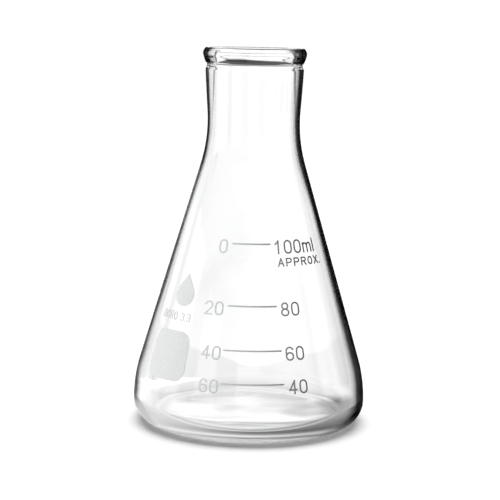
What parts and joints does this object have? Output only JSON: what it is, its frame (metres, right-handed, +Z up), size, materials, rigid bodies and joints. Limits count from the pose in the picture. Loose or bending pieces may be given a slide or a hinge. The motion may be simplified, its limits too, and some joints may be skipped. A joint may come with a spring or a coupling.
{
  "type": "erlenmeyer flask",
  "caption": "Narrow-neck conical laboratory flask of clear borosilicate glass, with a beaded rim, a rounded foot and white enamel volume marks.",
  "frame": {"origin": "centre of the standing ring, on the surface that the flask stands on", "axes": "+Z up along the flask's axis; -Y faces the viewer of the graduation; +X is to that viewer's right"},
  "size_m": [0.064, 0.064, 0.103],
  "materials": {
    "glass": "clear fire-polished borosilicate glass",
    "enamel": "fired white ceramic enamel, matt and slightly granular"
  },
  "bodies": {
    "root": {"approx_character_1_A": "enamel", "approx_character_2_P": "enamel", "approx_character_3_P": "enamel", "approx_character_4_R": "enamel", "approx_character_5_O": "enamel", "approx_character_6_X": "enamel", "approx_character_7_point": "enamel", "boro_character_1_B": "enamel", "boro_character_2_O": "enamel", "boro_character_3_R": "enamel", "boro_character_4_O": "enamel", "boro_character_6_3": "enamel", "boro_character_7_point": "enamel", "boro_character_8_3": "enamel", "content_100ml_character_1_1": "enamel", "content_100ml_character_2_0": "enamel", "content_100ml_character_3_0": "enamel", "content_100ml_character_4_m": "enamel", "content_100ml_character_5_l": "enamel", "content_40ml_character_1_4": "enamel", "content_40ml_character_2_0": "enamel", "content_60ml_character_1_6": "enamel", "content_60ml_character_2_0": "enamel", "content_80ml_character_1_8": "enamel", "content_80ml_character_2_0": "enamel", "drop_emblem": "enamel", "flask_body": "glass", "line_100ml": "enamel", "line_40ml": "enamel", "line_60ml": "enamel", "line_80ml": "enamel", "poured_0ml_character_1_0": "enamel", "poured_20ml_character_1_2": "enamel", "poured_20ml_character_2_0": "enamel", "poured_40ml_character_1_4": "enamel", "poured_40ml_character_2_0": "enamel", "poured_60ml_character_1_6": "enamel", "poured_60ml_character_2_0": "enamel", "writing_spot": "enamel"}
  },
  "joints": []
}
